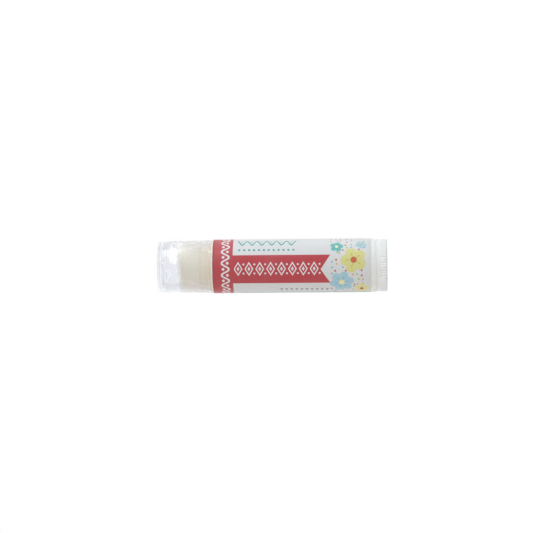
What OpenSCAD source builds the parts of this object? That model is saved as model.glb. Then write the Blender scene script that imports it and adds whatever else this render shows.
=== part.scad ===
// Twist-up lip balm stick with a push-on clear cap.
// Millimetres. The stick stands on its dial, +Z up, with the origin at the centre of the dial's foot.
// The front of the label faces -Y.

/* [Tube] */
// Outside diameter of the tube body
tube_d = 15.9; // [13:0.05:20]
// Height of the tube body, from its bottom rim to the shoulder under the cap
tube_h = 48.6; // [34:0.1:70]
// Wall left round the socket that holds the dial
socket_wall = 1.3; // [0.9:0.05:1.8]
// Depth of the socket that holds the dial
socket_h = 3.6; // [3:0.1:6]
// Height of the neck above the shoulder
neck_h = 8.7; // [6:0.1:14]
// Wall of the neck, which sets the bore of the whole tube
neck_wall = 0.65; // [0.5:0.05:1]
// Height of the collar at the foot of the neck, which centres the cap's rim
collar_h = 0.9; // [0.5:0.05:2]
// Slope from the collar in to the neck
collar_slope = 0.4; // [0.2:0.05:1]
// Height of the bead's middle above the collar's slope
bead_rise = 2.2; // [1.5:0.1:4]
// Height of the bead that steadies the cap
bead_h = 0.7; // [0.4:0.05:1.2]
// Small chamfer on the tube's moulded edges
tube_edge = 0.15; // [0.05:0.05:0.3]
// Number of ribs along the bore that stop the cup from turning
guide_count = 2; // [2:1:4]
// Width of a guide rib
guide_w = 0.9; // [0.5:0.05:1.5]
// How far a guide rib stands into the bore
guide_depth = 0.35; // [0.2:0.05:0.5]
// Distance from the top of the neck down to the ends of the guide ribs
guide_setback = 1; // [0.5:0.1:3]

/* [Cap] */
// How far the cap's rim sits in from the tube's side
cap_step = 0.12; // [0:0.01:0.5]
// Narrowing of the cap on each side, from its rim to its closed end
cap_draft = 0.32; // [0:0.01:0.6]
// Side wall of the cap
cap_wall = 0.85; // [0.6:0.05:1.2]
// End wall of the cap
cap_end = 1.2; // [0.8:0.05:2]
// Empty height between the neck and the inside of the cap's end
headspace = 6.1; // [5:0.1:12]
// Radius of the corner round the closed end
cap_corner_r = 0.55; // [0.2:0.05:0.8]
// Chamfer on the rim's edges
cap_edge = 0.1; // [0.05:0.05:0.2]
// Number of fine steps inside the closed end
step_count = 2; // [1:1:4]
// Height of each step
step_h = 0.75; // [0.4:0.05:1.2]
// How far each step stands in from the one below
step_in = 0.25; // [0.1:0.05:0.4]

/* [Dial] */
// How far the dial's side sits in from the tube's side
dial_step = 0.15; // [0:0.01:0.5]
// Height of the dial
dial_h = 3.3; // [2.6:0.1:6]
// Bevel round the dial's foot
dial_bevel = 0.35; // [0.1:0.05:0.4]
// Number of grip grooves round the dial
groove_count = 60; // [24:1:60]
// Radius of a grip groove
groove_r = 0.25; // [0.15:0.01:0.3]
// Depth of a grip groove
groove_depth = 0.2; // [0.1:0.01:0.25]
// Height of the foot under the grooves
groove_z = 0.4; // [0.4:0.05:1]
// Height of the grooved band
groove_h = 1.5; // [1:0.05:1.8]
// Width of the ring that the stick stands on
foot_w = 2.3; // [1.5:0.1:3]
// Depth of the hollow under the dial
foot_recess = 0.5; // [0.2:0.05:0.8]
// Height of the ring that plugs into the tube
plug_h = 3.4; // [3:0.1:6]
// Wall of the plugging ring
plug_wall = 1; // [0.6:0.05:1.3]
// Height of the snap ring's middle above the tube's bottom rim
snap_rise = 2.1; // [1.5:0.1:2.3]
// Height of the snap ring
snap_h = 0.7; // [0.4:0.05:1]
// How far the snap ring stands out of the plug
snap_out = 0.3; // [0.15:0.05:0.5]

/* [Screw] */
// Outside diameter of the spindle's thread
screw_d = 3.8; // [3:0.1:4.6]
// Depth of the thread
thread_depth = 0.5; // [0.3:0.05:0.6]
// Rise of the cup in one turn of the dial
thread_pitch = 3.5; // [2.8:0.1:4.4]
// Width of the thread at its crest
crest_w = 0.7; // [0.4:0.05:0.9]
// Width of the thread at its root
root_w = 1.4; // [1:0.05:1.6]
// How far the boss at the spindle's foot stands out from the thread
boss_out = 0.7; // [0.4:0.05:1]
// Height of the boss above the plugging ring
boss_rise = 0.1; // [0:0.05:0.3]
// How far the knob at the spindle's tip stands out from the thread
knob_out = 0.05; // [0.02:0.01:0.1]
// Height of the straight part of the knob
knob_h = 0.5; // [0.3:0.05:1]
// Height of the knob's cone
knob_cone = 0.4; // [0.2:0.05:0.8]
// Distance from the top of the neck down to the spindle's tip
spindle_setback = 1.7; // [1.5:0.1:5]

/* [Cup] */
// Height of the cup that carries the balm
cup_h = 6; // [4:0.1:10]
// Side wall of the cup
cup_wall = 0.75; // [0.6:0.05:1]
// Floor of the cup
cup_floor = 1.2; // [0.8:0.1:2]
// Wall of the nut in the cup
nut_wall = 1.05; // [0.8:0.05:1.4]
// Turn of the spindle that each thread lug of the nut covers
lug_arc = 60; // [30:10:90]
// Height left in the nut above and below its lugs
lug_margin = 0.25; // [0.1:0.05:0.5]

/* [Balm] */
// Height of the poured surface above the neck, on the axis
balm_rise = 0.6; // [0:0.1:1.5]
// Tilt of the poured surface
balm_tilt = 5.5; // [0:0.5:8]

/* [Label] */
// Thickness of the label film
label_t = 0.06; // [0.04:0.01:0.15]
// Thickness of the glue under the label
label_glue = 0.02; // [0.01:0.01:0.05]
// Bare height of the tube under the label
label_foot = 1.4; // [0.5:0.1:5]
// Bare height of the tube above the label
label_head = 0.5; // [0.2:0.1:5]
// Angle over which the label's end overlaps its start
overlap_arc = 28; // [10:1:60]
// Angle of the overlap's first edge, counted from +X towards +Y
overlap_from = 121; // [60:1:150]

/* [Fits] */
// Gap between the neck and the cap's closed end, on each side
neck_gap = 0.12; // [0.08:0.01:0.3]
// Gap between the collar or the bead and the cap, on each side
bead_gap = 0.05; // [0.03:0.01:0.1]
// Gap between the shoulder and the cap's rim
rim_gap = 0.1; // [0.05:0.01:0.3]
// Running gap round the dial's plug, on each side
plug_gap = 0.06; // [0.03:0.01:0.1]
// Running gap above the dial, under the tube
dial_gap = 0.1; // [0.05:0.01:0.3]
// Sliding gap round the cup, on each side
cup_gap = 0.08; // [0.05:0.01:0.1]
// Gap between the cup and the spindle's boss when the balm is wound down
seat_gap = 0.3; // [0.1:0.05:0.6]
// Gap beside each guide rib, and in front of it
guide_gap = 0.15; // [0.1:0.01:0.2]
// Gap between the nut and the thread's crest, on each side
nut_gap = 0.2; // [0.1:0.01:0.3]
// Gap between the lugs and the root of the thread
lug_gap = 0.15; // [0.1:0.01:0.25]
// Gap between a lug and each flank of the thread, along the spindle
flank_gap = 0.2; // [0.1:0.01:0.3]
// Gap round the balm in the tube and in the cup, on each side
balm_gap = 0.12; // [0.08:0.01:0.3]
// Gap round the spindle in the balm, on each side
core_gap = 0.3; // [0.2:0.05:0.5]

/* [Hidden] */

// Facets on a circle, and on a grip groove
round_fn = 96;
groove_fn = 24;
// Overshoot of a cut, and how far one part of a piece runs into the next
over = 1;
bury = 0.5;
// Steps on the cap's corner, in a turn of the thread and along a lug
corner_steps = 6;
thread_steps = 18;
lug_steps = 6;
// Turns of thread below the first lug: a half, so that the lug lies between two turns
turns_below = 2.5;

// Heights along the stick, from the foot up
tube_z = dial_h + dial_gap;
plug_top_z = dial_h + plug_h;
socket_top_z = tube_z + socket_h;
snap_z = tube_z + snap_rise;
boss_top_z = plug_top_z + boss_rise;
cup_z = max(boss_top_z + seat_gap, socket_top_z + plug_gap);
cup_floor_z = cup_z + cup_floor;
cup_top_z = cup_z + cup_h;
shoulder_z = tube_z + tube_h;
collar_top_z = shoulder_z + collar_h;
bead_z = collar_top_z + collar_slope + bead_rise;
neck_top_z = shoulder_z + neck_h;
cap_z = shoulder_z + rim_gap;
cap_in_z = neck_top_z + headspace;
cap_top_z = cap_in_z + cap_end;
spindle_top_z = neck_top_z - spindle_setback;
balm_top_z = neck_top_z + balm_rise;

// Radii, from the outside in
tube_r = tube_d / 2;
cap_rim_r = tube_r - cap_step;
cap_top_r = cap_rim_r - cap_draft;
cap_in_rim_r = cap_rim_r - cap_wall;
cap_in_top_r = cap_top_r - cap_wall;
neck_r = cap_in_top_r - neck_gap;
bore_r = neck_r - neck_wall;
dial_r = tube_r - dial_step;
socket_r = tube_r - socket_wall;
plug_r = socket_r - plug_gap;
snap_r = plug_r + snap_out;
cup_r = bore_r - cup_gap;
balm_r = bore_r - balm_gap;
crest_r = screw_d / 2;
root_r = crest_r - thread_depth;
boss_r = crest_r + boss_out;
knob_r = crest_r + knob_out;
nut_in_r = crest_r + nut_gap;
nut_r = nut_in_r + nut_wall;

// Radius of the cap's bore at height z, which narrows like its outside
function cap_bore_r(z) = cap_in_rim_r - cap_draft * (z - cap_z) / (cap_in_z - cap_z);
collar_r = cap_bore_r(collar_top_z) - bead_gap;
bead_r = cap_bore_r(bead_z + bead_h / 2) - bead_gap;

// Half the height of the groove between two turns of the thread, at radius r
function groove_half(r) =
    (thread_pitch - root_w + (root_w - crest_w) * (r - root_r) / thread_depth) / 2;

// A lug reaches from the thread's root to the middle of the nut's wall, and climbs over its arc
lug_in_r = root_r + lug_gap;
lug_out_r = nut_in_r + nut_wall / 2;
lug_in_half = groove_half(lug_in_r) - flank_gap;
lug_out_half = groove_half(nut_in_r) - flank_gap;
lug_climb = thread_pitch * lug_arc / 360;
lug_half_h = lug_out_half + lug_climb / 2;
nut_z = cup_z + lug_margin + lug_half_h;
nut_h = thread_pitch / 2 + 2 * lug_half_h + 2 * lug_margin;
nut_top_z = cup_z + nut_h;

// The thread runs from inside the boss to the middle of the knob
thread_z = nut_z - turns_below * thread_pitch;
thread_cut_z = boss_top_z - bury;
thread_end_z = spindle_top_z - knob_cone - knob_h / 2;
thread_turns = ceil((thread_end_z - thread_z) / thread_pitch) + 1;

// Radial cross-section of a lug, from the thread's root outwards
lug_section = [
    [lug_in_r, -lug_in_half],
    [lug_in_r, lug_in_half],
    [lug_out_r, lug_out_half],
    [lug_out_r, -lug_out_half]
];

// Radial cross-section of one turn of the thread, from below upwards
thread_section = [
    [root_r, -root_w / 2],
    [crest_r, -crest_w / 2],
    [crest_r, crest_w / 2],
    [root_r, root_w / 2]
];

// A point [radius, height] carried along the helix to angle a
function on_helix(p, a) = [p[0] * cos(a), p[0] * sin(a), p[1] + thread_pitch * a / 360];

// The two triangles of a four-cornered patch
function patch(a, b, c, d) = [[a, b, c], [a, c, d]];

// A ring between two radii and two heights
module ring(r_in, r_out, z, h) {
    rotate_extrude($fn = round_fn)
        translate([r_in, z])
            square([r_out - r_in, h]);
}

// A low bead round a cylinder of radius r, its middle at height z, with the middle third of its height flat
module bead(r, out, z, h) {
    flat = h / 3;
    rotate_extrude($fn = round_fn)
        polygon([
            [r - out, z - h / 2],
            [r, z - h / 2],
            [r + out, z - flat / 2],
            [r + out, z + flat / 2],
            [r, z + h / 2],
            [r - out, z + h / 2]
        ]);
}

// Places its children at every guide rib
module at_guides() {
    for (i = [0 : guide_count - 1])
        rotate([0, 0, i * 360 / guide_count])
            children();
}

// The slot that a guide rib needs in what slides past it
module guide_slots(z, h) {
    at_guides()
        translate([bore_r - guide_depth - guide_gap, -guide_w / 2 - guide_gap, z])
            cube([guide_depth + guide_gap + over, guide_w + 2 * guide_gap, h]);
}

// One turned section carried round the axis from angle a0 to a1
module helix_lug(section, a0, a1, steps) {
    n = len(section);
    points = [for (i = [0 : steps], p = section) on_helix(p, a0 + (a1 - a0) * i / steps)];
    sides = [
        for (i = [0 : steps - 1], k = [0 : n - 1])
            let (j = (k + 1) % n)
            each patch(i * n + j, i * n + k, (i + 1) * n + k, (i + 1) * n + j)
    ];
    first = patch(0, 1, 2, 3);
    last = patch(steps * n + 3, steps * n + 2, steps * n + 1, steps * n);
    polyhedron(points = points, faces = concat(sides, first, last));
}

// The spindle's core and thread in one closed surface: the section wound up the helix, turn on turn,
// closed at each end by a fan round a point on the axis
module thread_rod() {
    n = len(thread_section);
    s = thread_steps;
    m_end = thread_turns * s;
    foot = (m_end + 1) * n;
    tip = foot + 1;
    top = n - 1;
    points = concat(
        [for (m = [0 : m_end], p = thread_section) on_helix(p, m * 360 / s)],
        [[0, 0, thread_pitch / 2], [0, 0, thread_pitch * (thread_turns - 0.5)]]
    );
    threads = [
        for (m = [0 : m_end - 1], k = [0 : n - 2])
            each patch(m * n + k, m * n + k + 1, (m + 1) * n + k + 1, (m + 1) * n + k)
    ];
    roots = [
        for (m = [0 : m_end - s - 1])
            each patch(m * n + top, (m + s) * n, (m + s + 1) * n, (m + 1) * n + top)
    ];
    foot_fan = concat(
        [for (m = [0 : s - 1]) [foot, m * n, (m + 1) * n]],
        [[foot, s * n, top]],
        [for (k = [top : -1 : 1]) [foot, k, k - 1]]
    );
    tip_fan = concat(
        [for (m = [m_end - s : m_end - 1]) [tip, (m + 1) * n + top, m * n + top]],
        [[tip, (m_end - s) * n + top, m_end * n]],
        [for (k = [0 : top - 1]) [tip, m_end * n + k, m_end * n + k + 1]]
    );
    translate([0, 0, thread_z])
        polyhedron(points = points, faces = concat(threads, roots, foot_fan, tip_fan));
}

// Clear cap: a tapered cup upside down, with a rounded closed end stepped inside
module cap() {
    corner_z = cap_top_z - cap_corner_r;
    corner = [
        for (i = [0 : corner_steps])
            let (a = 90 * i / corner_steps)
            [cap_top_r - cap_corner_r * (1 - cos(a)), corner_z + cap_corner_r * sin(a)]
    ];
    steps = [
        for (i = [step_count : -1 : 1])
            let (r = cap_in_top_r - i * step_in, z = cap_in_z - (step_count - i) * step_h)
            each [[r, z], [r, z - step_h]]
    ];
    color([0.91, 0.93, 0.95, 0.4])
        rotate_extrude($fn = round_fn)
            polygon(concat(
                [
                    [cap_in_rim_r + cap_edge, cap_z],
                    [cap_rim_r - cap_edge, cap_z],
                    [cap_rim_r, cap_z + cap_edge]
                ],
                corner,
                [[0, cap_top_z], [0, cap_in_z]],
                steps,
                [
                    [cap_bore_r(cap_in_z - step_count * step_h), cap_in_z - step_count * step_h],
                    [cap_bore_r(cap_z + cap_edge), cap_z + cap_edge]
                ]
            ));
}

// Tube: outside turned with its shoulder, collar, bead and neck, then bored, with its guide ribs
module tube_body() {
    color([0.89, 0.90, 0.88]) {
        difference() {
            union() {
                rotate_extrude($fn = round_fn)
                    polygon([
                        [0, tube_z],
                        [tube_r - tube_edge, tube_z],
                        [tube_r, tube_z + tube_edge],
                        [tube_r, shoulder_z - tube_edge],
                        [tube_r - tube_edge, shoulder_z],
                        [collar_r, shoulder_z],
                        [collar_r, collar_top_z],
                        [neck_r, collar_top_z + collar_slope],
                        [neck_r, neck_top_z - tube_edge],
                        [neck_r - tube_edge, neck_top_z],
                        [0, neck_top_z]
                    ]);
                bead(neck_r, bead_r - neck_r, bead_z, bead_h);
            }
            translate([0, 0, tube_z - over])
                cylinder(r = bore_r, h = tube_h + neck_h + 2 * over, $fn = round_fn);
            translate([0, 0, tube_z - over])
                cylinder(r = socket_r, h = socket_h + over, $fn = round_fn);
            ring(socket_r - over, snap_r + plug_gap, snap_z - snap_h / 2 - plug_gap, snap_h + 2 * plug_gap);
        }
        at_guides()
            translate([bore_r - guide_depth, -guide_w / 2, socket_top_z])
                cube([guide_depth + neck_wall / 2, guide_w, neck_top_z - guide_setback - socket_top_z]);
    }
}

// Cup that rises with the balm, with the nut that runs on the spindle
module elevator_cup() {
    color([0.93, 0.93, 0.91]) {
        difference() {
            union() {
                translate([0, 0, cup_z])
                    cylinder(r = cup_r, h = cup_floor, $fn = round_fn);
                ring(cup_r - cup_wall, cup_r, cup_z, cup_h);
                translate([0, 0, cup_z])
                    cylinder(r = nut_r, h = nut_h, $fn = round_fn);
            }
            translate([0, 0, cup_z - over])
                cylinder(r = nut_in_r, h = nut_h + 2 * over, $fn = round_fn);
            guide_slots(cup_z - over, cup_h + 2 * over);
        }
        for (i = [0, 1])
            translate([0, 0, nut_z])
                helix_lug(lug_section, 180 * i - lug_arc / 2, 180 * i + lug_arc / 2, lug_steps);
    }
}

// Dial and spindle, moulded in one: the grooved foot, the ring that snaps into the tube, and the screw
module dial_spindle() {
    color([0.88, 0.89, 0.87]) {
        difference() {
            rotate_extrude($fn = round_fn)
                polygon([
                    [0, foot_recess],
                    [dial_r - foot_w, foot_recess],
                    [dial_r - foot_w, 0],
                    [dial_r - dial_bevel, 0],
                    [dial_r, dial_bevel],
                    [dial_r, dial_h - tube_edge],
                    [dial_r - tube_edge, dial_h],
                    [0, dial_h]
                ]);
            for (i = [0 : groove_count - 1])
                rotate([0, 0, i * 360 / groove_count])
                    translate([dial_r - groove_depth + groove_r, 0, groove_z])
                        cylinder(r = groove_r, h = groove_h, $fn = groove_fn);
        }
        ring(plug_r - plug_wall, plug_r, dial_h - plug_wall, plug_h + plug_wall);
        bead(plug_r, snap_out, snap_z, snap_h);
        translate([0, 0, dial_h - plug_wall])
            cylinder(r = boss_r, h = boss_top_z - dial_h + plug_wall, $fn = round_fn);
        intersection() {
            thread_rod();
            translate([0, 0, thread_cut_z])
                cylinder(r = boss_r, h = thread_end_z - thread_cut_z, $fn = round_fn);
        }
        translate([0, 0, spindle_top_z - knob_cone - knob_h])
            cylinder(r = knob_r, h = knob_h, $fn = round_fn);
        translate([0, 0, spindle_top_z - knob_cone])
            cylinder(r1 = knob_r, r2 = knob_r - knob_cone, h = knob_cone, $fn = round_fn);
    }
}

// Balm: poured in the cup and the tube round the spindle, with a slightly tilted surface
module balm() {
    color([0.86, 0.84, 0.78])
        difference() {
            union() {
                translate([0, 0, cup_floor_z])
                    cylinder(r = cup_r - cup_wall - balm_gap, h = cup_h, $fn = round_fn);
                translate([0, 0, cup_top_z])
                    cylinder(r = balm_r, h = balm_top_z - cup_top_z + balm_r, $fn = round_fn);
            }
            translate([0, 0, cup_floor_z - over])
                cylinder(r = nut_r + balm_gap, h = nut_top_z + balm_gap - cup_floor_z + over, $fn = round_fn);
            translate([0, 0, cup_floor_z - over])
                cylinder(r = knob_r + core_gap, h = spindle_top_z + core_gap - cup_floor_z + over, $fn = round_fn);
            guide_slots(cup_floor_z - over, balm_top_z - cup_floor_z + balm_r + 2 * over);
            translate([0, 0, balm_top_z])
                rotate([0, -balm_tilt, 0])
                    translate([-tube_d, -tube_d, 0])
                        cube([2 * tube_d, 2 * tube_d, tube_d]);
        }
}

// Label: a film wrapped once round the tube, its end lying over its start at the back.
// The overlap runs from the middle of the first layer to the outside of the second
module label() {
    label_z = tube_z + label_foot;
    label_h = tube_h - label_foot - label_head;
    label_in_r = tube_r + label_glue;
    overlap_in_r = label_in_r + label_t / 2;
    overlap_out_r = label_in_r + 2 * label_t;
    color([0.72, 0.34, 0.36]) {
        ring(label_in_r, label_in_r + label_t, label_z, label_h);
        rotate([0, 0, overlap_from])
            rotate_extrude(angle = overlap_arc, $fn = round_fn)
                translate([overlap_in_r, label_z])
                    square([overlap_out_r - overlap_in_r, label_h]);
    }
}

cap();
tube_body();
elevator_cup();
dial_spindle();
balm();
label();
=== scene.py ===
"""Looks of a twist-up lip balm stick: a clear cap over a labelled natural tube, with a grooved dial below.

The stick stands on its dial, +Z up, and the front of the label faces -Y. Surfaces are worked out in
millimetres and put into their meshes in metres.
"""

import math

import bpy
import numpy as np
from mathutils import Matrix, Vector


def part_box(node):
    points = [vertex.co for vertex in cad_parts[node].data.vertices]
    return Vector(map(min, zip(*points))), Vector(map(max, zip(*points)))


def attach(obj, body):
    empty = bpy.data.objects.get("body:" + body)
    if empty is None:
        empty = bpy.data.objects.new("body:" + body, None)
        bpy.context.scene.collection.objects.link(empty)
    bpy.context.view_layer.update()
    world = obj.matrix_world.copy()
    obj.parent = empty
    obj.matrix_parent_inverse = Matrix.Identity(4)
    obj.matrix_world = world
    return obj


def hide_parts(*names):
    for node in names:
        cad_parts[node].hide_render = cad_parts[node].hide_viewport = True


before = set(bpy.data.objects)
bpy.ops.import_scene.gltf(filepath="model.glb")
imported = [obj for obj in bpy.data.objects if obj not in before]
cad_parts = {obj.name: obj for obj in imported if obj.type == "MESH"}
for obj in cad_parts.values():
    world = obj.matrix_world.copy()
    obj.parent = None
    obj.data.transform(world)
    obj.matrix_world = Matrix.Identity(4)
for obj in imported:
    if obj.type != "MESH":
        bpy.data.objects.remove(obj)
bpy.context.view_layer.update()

MM = 0.001


def extent(node):
    """Largest radius, lowest height and highest height of a CAD node, in millimetres."""
    low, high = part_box(node)
    return high[1] / MM, low[2] / MM, high[2] / MM


CAP_R, CAP_Z, CAP_TOP = extent("cap")
TUBE_R, TUBE_Z, NECK_TOP = extent("tube_body")
LABEL_R, LABEL_Z, LABEL_TOP = extent("label")
DIAL_R, _, SPINDLE_TOP = extent("dial_spindle")
CUP_R, CUP_Z, CUP_TOP = extent("elevator_cup")
BALM_R, BALM_Z, _ = extent("balm")

# Cap: narrowing on each side, walls, corner, and the fine steps inside its closed end
CAP_DRAFT, CAP_WALL, CAP_END, CAP_CORNER = 0.32, 0.85, 1.2, 0.55
STEP_COUNT, STEP_H, STEP_IN = 2, 0.75, 0.25
GATE_R, GATE_DEPTH, DIAL_GATE = 0.9, 0.14, 0.12

# Tube: heights of the shoulder, collar, bead and socket, and its radii from the outside in
SHOULDER_Z, COLLAR_TOP, SLOPE_TOP, BEAD_Z, BEAD_H = 52.0, 52.9, 53.3, 55.5, 0.7
COLLAR_R, BEAD_R, NECK_R, BORE_R = 6.91, 6.84, 6.54, 5.89
SOCKET_R, SOCKET_TOP, SNAP_R, SNAP_Z, SNAP_H = 6.65, 7.0, 6.95, 5.5, 0.82
GUIDE_HALF, GUIDE_DEPTH, GUIDE_TOP = 0.45, 0.35, 59.7

# Dial: its top, foot, grooves and the ring that plugs into the tube
DIAL_TOP, FOOT_W, FOOT_RECESS, DIAL_BEVEL = 3.3, 2.3, 0.5, 0.35
GROOVES, GROOVE_R, GROOVE_DEPTH, GROOVE_LOW, GROOVE_HIGH = 60, 0.25, 0.2, 0.4, 1.9
PLUG_R, PLUG_IN, PLUG_TOP, CATCH_R, CATCH_H = 6.59, 5.59, 6.7, 6.89, 0.7
BOSS_R, BOSS_TOP = 2.6, 6.8

# Screw: its thread, and the knob at its tip
PITCH, CREST_R, ROOT_R, CREST_W, ROOT_W = 3.5, 1.9, 1.4, 0.7, 1.4
KNOB_R, KNOB_LOW, KNOB_CONE = 1.95, 58.1, 0.4

# Lugs of the nut, which run in the thread: arc in degrees, radii, half heights, and height of the middle
LUG_ARC, LUG_IN_R, LUG_OUT_R, LUG_IN_HALF, LUG_OUT_HALF = 60, 1.55, 2.625, 0.955, 1.395
LUG_Z = 9.04

# Cup and balm: walls, nut, guide slots and the poured surface
CUP_IN, CUP_FLOOR, NUT_IN, NUT_R, NUT_TOP, SLOT_R, SLOT_HALF = 5.06, 8.3, 2.1, 3.15, 12.61, 5.39, 0.6
BALM_FOOT_R, CORE_R, CORE_TOP, BALM_GAP = 4.94, 2.25, 59.3, 0.12
BALM_LEVEL, BALM_TILT, BALM_ROUND = 61.3, 5.5, 0.22

# Label: film, glue line, gap between its layers, and the overlap at the back, in degrees from +X towards +Y
FILM, GLUE, LAYER_GAP, OVERLAP_FROM, OVERLAP_ARC, LIFT_ARC = 0.055, 0.02, 0.005, 121.0, 28.0, 3.0


# Camera: its place and what it looks at in metres, its roll in degrees, and its lens in millimetres
CAMERA_AT, LOOKS_AT, CAMERA_ROLL, LENS = (-0.00014, -0.555, 0.0085), (-0.00014, 0.0, 0.0359), 0.45, 125.8


def make_camera():
    """The camera looks along +Y from just above the foot, with the cap on the left of the picture."""
    place, target = Vector(CAMERA_AT), Vector(LOOKS_AT)
    roll = math.radians(CAMERA_ROLL)
    ahead = (target - place).normalized()
    side = ahead.cross(Vector((1, 0, 0))).normalized()
    over = side.cross(ahead)
    right = side * math.cos(roll) - over * math.sin(roll)
    up = side * math.sin(roll) + over * math.cos(roll)
    data = bpy.data.cameras.new("camera")
    data.lens = LENS
    data.sensor_width = 36
    data.clip_start, data.clip_end = 0.01, 20
    camera = bpy.data.objects.new("camera", data)
    bpy.context.scene.collection.objects.link(camera)
    turned_to = Matrix((right, up, -ahead)).transposed()
    camera.matrix_world = Matrix.Translation(place) @ turned_to.to_4x4()
    bpy.context.scene.camera = camera


make_camera()


def with_other(operation, swapped=False):
    """A method of Term: this operation of the Math node on it and another value."""
    def method(self, other):
        pair = (other, self) if swapped else (self, other)
        return self.math(operation, *pair)

    return method


def alone(operation):
    """A method of Term: this operation of the Math node on it alone."""
    def method(self):
        return self.math(operation, self)

    return method


class Term:
    """A number that changes over a surface, as a node's output, with the usual arithmetic.

    most and least give the larger and the smaller of it and another value.
    """

    __add__ = with_other("ADD")
    __radd__ = with_other("ADD", swapped=True)
    __sub__ = with_other("SUBTRACT")
    __rsub__ = with_other("SUBTRACT", swapped=True)
    __mul__ = with_other("MULTIPLY")
    __truediv__ = with_other("DIVIDE")
    __rtruediv__ = with_other("DIVIDE", swapped=True)
    __mod__ = with_other("FLOORED_MODULO")
    __pow__ = with_other("POWER")
    __lt__ = with_other("LESS_THAN")
    __gt__ = with_other("GREATER_THAN")
    most = with_other("MAXIMUM")
    least = with_other("MINIMUM")
    __abs__ = alone("ABSOLUTE")
    sine = alone("SINE")
    cosine = alone("COSINE")
    sign = alone("SIGN")

    def __init__(self, tree, socket):
        self.tree, self.socket = tree, socket

    def math(self, operation, *values):
        """The result of a Math node on these values, each a number or a Term."""
        made = self.tree.nodes.new("ShaderNodeMath")
        made.operation = operation
        for slot, value in zip(made.inputs, values):
            plug(self.tree, slot, value)
        return Term(self.tree, made.outputs[0])

    def near(self, middle, half):
        """1 where the number lies within half of middle, and 0 elsewhere."""
        return self.math("COMPARE", self, middle, half)

    def ramp(self, low, high, to_low=0.0, to_high=1.0):
        """Runs smoothly from to_low to to_high as the number goes from low to high."""
        made = self.tree.nodes.new("ShaderNodeMapRange")
        made.interpolation_type = "SMOOTHSTEP"
        for slot, value in zip(made.inputs, (self, low, high, to_low, to_high)):
            plug(self.tree, slot, value)
        return Term(self.tree, made.outputs[0])


def plug(tree, slot, value):
    """Links a Term or a socket to a slot, or sets the slot's own value."""
    if isinstance(value, Term):
        tree.links.new(value.socket, slot)
    elif isinstance(value, bpy.types.NodeSocket):
        tree.links.new(value, slot)
    elif isinstance(value, str) and value.startswith("#"):
        slot.default_value = tint(value)
    else:
        slot.default_value = value


def tint(code):
    """A colour written as #rrggbb in sRGB, as a linear colour with alpha 1."""
    parts = [int(code[i:i + 2], 16) / 255 for i in (1, 3, 5)]
    return [c / 12.92 if c <= 0.04045 else ((c + 0.055) / 1.055) ** 2.4 for c in parts] + [1.0]


def node(tree, kind, inputs=None, **settings):
    """A new node with these settings, and these inputs linked or set."""
    made = tree.nodes.new(kind)
    for name, value in settings.items():
        setattr(made, name, value)
    for name, value in (inputs or {}).items():
        plug(tree, made.inputs[name], value)
    return made


def out(made, name=0):
    """An output of a node as a Term."""
    return Term(made.id_data, made.outputs[name])


def blend(tree, mask, under, over):
    """The colour over where the mask is 1, on the colour under."""
    mix = node(tree, "ShaderNodeMix", data_type="RGBA")
    for slot, value in ((0, mask), (6, under), (7, over)):
        plug(tree, mix.inputs[slot], value)
    return mix.outputs[2]


def blend_number(mask, under, over):
    """The number over where the mask is 1, and under where it is 0."""
    return (over - under) * mask + under


def place_mm(tree):
    """The surface point in millimetres: x, y and z as Terms, and the whole vector."""
    where = node(tree, "ShaderNodeTexCoord").outputs["Object"]
    scaled = node(tree, "ShaderNodeVectorMath", operation="SCALE")
    plug(tree, scaled.inputs[0], where)
    scaled.inputs["Scale"].default_value = 1 / MM
    parts = node(tree, "ShaderNodeSeparateXYZ", {"Vector": scaled.outputs[0]})
    return [Term(tree, parts.outputs[i]) for i in range(3)] + [scaled.outputs[0]]


def turn_of(x, y):
    """Angle round the stick in radians: 0 at the front, which faces -Y, and positive towards +X."""
    return x.math("ARCTAN2", x, 0.0 - y)


def noise(tree, where, scale, detail=2.0, roughness=0.5, stretch=(1, 1, 1)):
    """Noise from 0 to 1, with scale features to a millimetre, stretched by axis."""
    mapped = node(tree, "ShaderNodeMapping", {"Vector": where, "Scale": stretch})
    inputs = {"Vector": mapped.outputs[0], "Scale": scale, "Detail": detail, "Roughness": roughness}
    return out(node(tree, "ShaderNodeTexNoise", inputs), "Fac")


def new_group(name, inputs, outputs):
    """A node group with number inputs {name: default} and outputs [name], and its two ends."""
    group = bpy.data.node_groups.new(name, "ShaderNodeTree")
    for label, default in inputs.items():
        socket = group.interface.new_socket(label, in_out="INPUT", socket_type="NodeSocketFloat")
        socket.default_value = default
    for label in outputs:
        group.interface.new_socket(label, in_out="OUTPUT", socket_type="NodeSocketFloat")
    start = group.nodes.new("NodeGroupInput")
    given = {label: Term(group, start.outputs[label]) for label in inputs}
    return group, given, group.nodes.new("NodeGroupOutput")


def use_group(tree, group, **inputs):
    """Places a group in a tree and gives its outputs as Terms by name."""
    made = node(tree, "ShaderNodeGroup", node_tree=group)
    for name, value in inputs.items():
        plug(tree, made.inputs[name.replace("_", " ")], value)
    return {socket.name: Term(tree, socket) for socket in made.outputs}


def moulding_group():
    """Moulded plastic: slow waves of its surface, a fine grain, and a mottle of its colour."""
    sizes = {"Wave size": 3.0, "Grain size": 0.12}
    group, given, end = new_group("moulding", sizes, ["Wave", "Grain", "Mottle"])
    where = place_mm(group)[3]
    waves = 1.0 / given["Wave size"]
    grains = 1.0 / given["Grain size"]
    plug(group, end.inputs["Wave"], noise(group, where, waves, 1.0, stretch=(1, 1, 0.35)))
    plug(group, end.inputs["Grain"], noise(group, where, grains, 2.0))
    plug(group, end.inputs["Mottle"], noise(group, where, waves * 0.5, 3.0, 0.6))
    return group


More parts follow.
